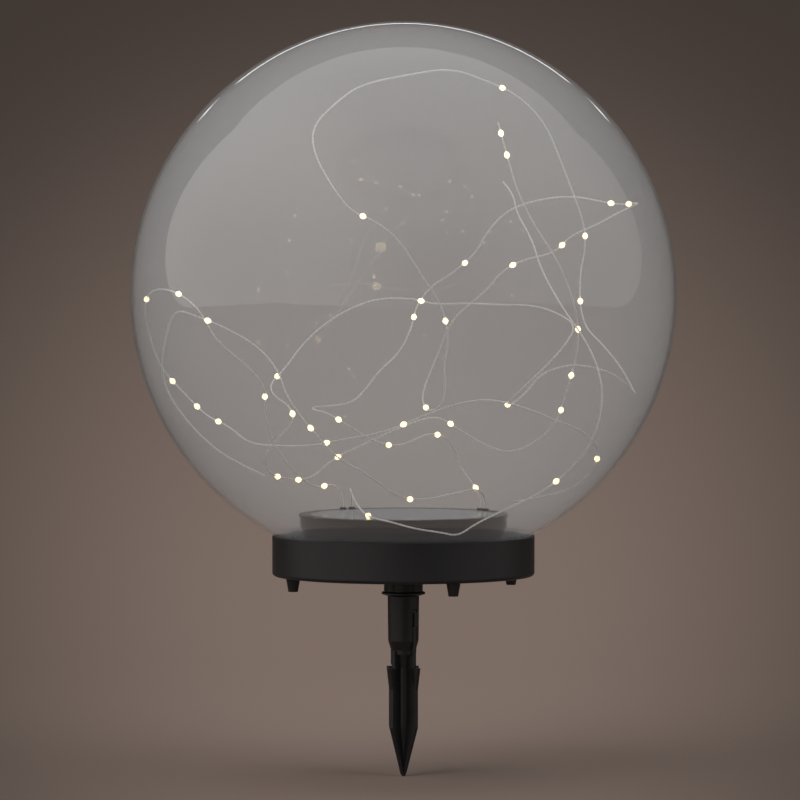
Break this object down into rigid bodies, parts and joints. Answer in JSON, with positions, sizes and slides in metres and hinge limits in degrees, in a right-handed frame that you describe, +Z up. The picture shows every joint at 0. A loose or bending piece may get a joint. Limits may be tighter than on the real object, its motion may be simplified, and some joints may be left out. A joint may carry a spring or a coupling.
{
  "type": "solar globe garden light",
  "caption": "Clear round garden lamp on a black base and ground spike, with a solar turret inside and a tangle of fine lighting wire.",
  "frame": {"origin": "on the stake's axis, level with the undersides of the four feet, which is ground level when the spike is pushed in", "axes": "+Z up along the stake's axis, +X right and +Y away from the viewer of the picture"},
  "size_m": [0.2999, 0.3, 0.4152],
  "materials": {
    "clear_globe": "clear, faintly grey, glossy",
    "black_plastic": "black, satin",
    "stake_black": "black, satin",
    "slider_black": "black",
    "clear_cover": "clear, high gloss",
    "panel_cells": "dark blue cells under resin",
    "silver_wire": "bright twisted thread",
    "lamp_bead": "clear resin drop, warm white when lit",
    "cell_sleeve": "plain printed sleeve, no label",
    "spring_steel": "bright",
    "board_green": "solder resist",
    "component_black": "moulded",
    "screw_steel": "plated",
    "seal_rubber": "soft",
    "grommet_rubber": "soft",
    "lead_sleeve": "insulation"
  },
  "bodies": {
    "spike": {"ground_spike": "stake_black"},
    "stake": {"stake_tube": "stake_black"},
    "base": {"base_housing": "black_plastic", "bottom_cover": "black_plastic", "cell": "cell_sleeve", "plate_contact": "spring_steel", "leaf_contact": "spring_steel", "circuit_board": "board_green", "board_parts": "component_black", "board_screws": "screw_steel", "switch_body": "component_black", "seal_ring": "seal_rubber", "solar_turret": "black_plastic", "turret_lid": "black_plastic", "panel_cover": "clear_cover", "solar_panel": "panel_cells", "wire_grommets": "grommet_rubber", "cover_screws": "screw_steel", "turret_screws": "screw_steel", "leads": "lead_sleeve", "light_wire_a": "silver_wire", "light_wire_b": "silver_wire", "light_wire_c": "silver_wire", "light_wire_d": "silver_wire", "light_beads": "lamp_bead"},
    "globe": {"globe_shell": "clear_globe"},
    "slider": {"switch_slider": "slider_black"},
    "door": {"battery_door": "black_plastic"}
  },
  "joints": [
    {"name": "spike_pull", "type": "slide", "parent": "spike", "child": "stake", "axis": [0, 0, 1], "range_m": [0, 0.02]},
    {"name": "lamp_lift", "type": "slide", "parent": "stake", "child": "base", "axis": [0, 0, 1], "range_m": [0, 0.014]},
    {"name": "globe_twist", "type": "hinge", "parent": "base", "child": "globe", "pos_m": [0, 0, 0.0291], "axis": [0, 0, 1], "range_deg": [0, 20]},
    {"name": "switch_slide", "type": "slide", "parent": "base", "child": "slider", "axis": [1, 0, 0], "range_m": [0, 0.003]},
    {"name": "door_hinge", "type": "hinge", "parent": "base", "child": "door", "pos_m": [0, -0.0442, 0.0081], "axis": [-1, 0, 0], "range_deg": [0, 90]}
  ]
}
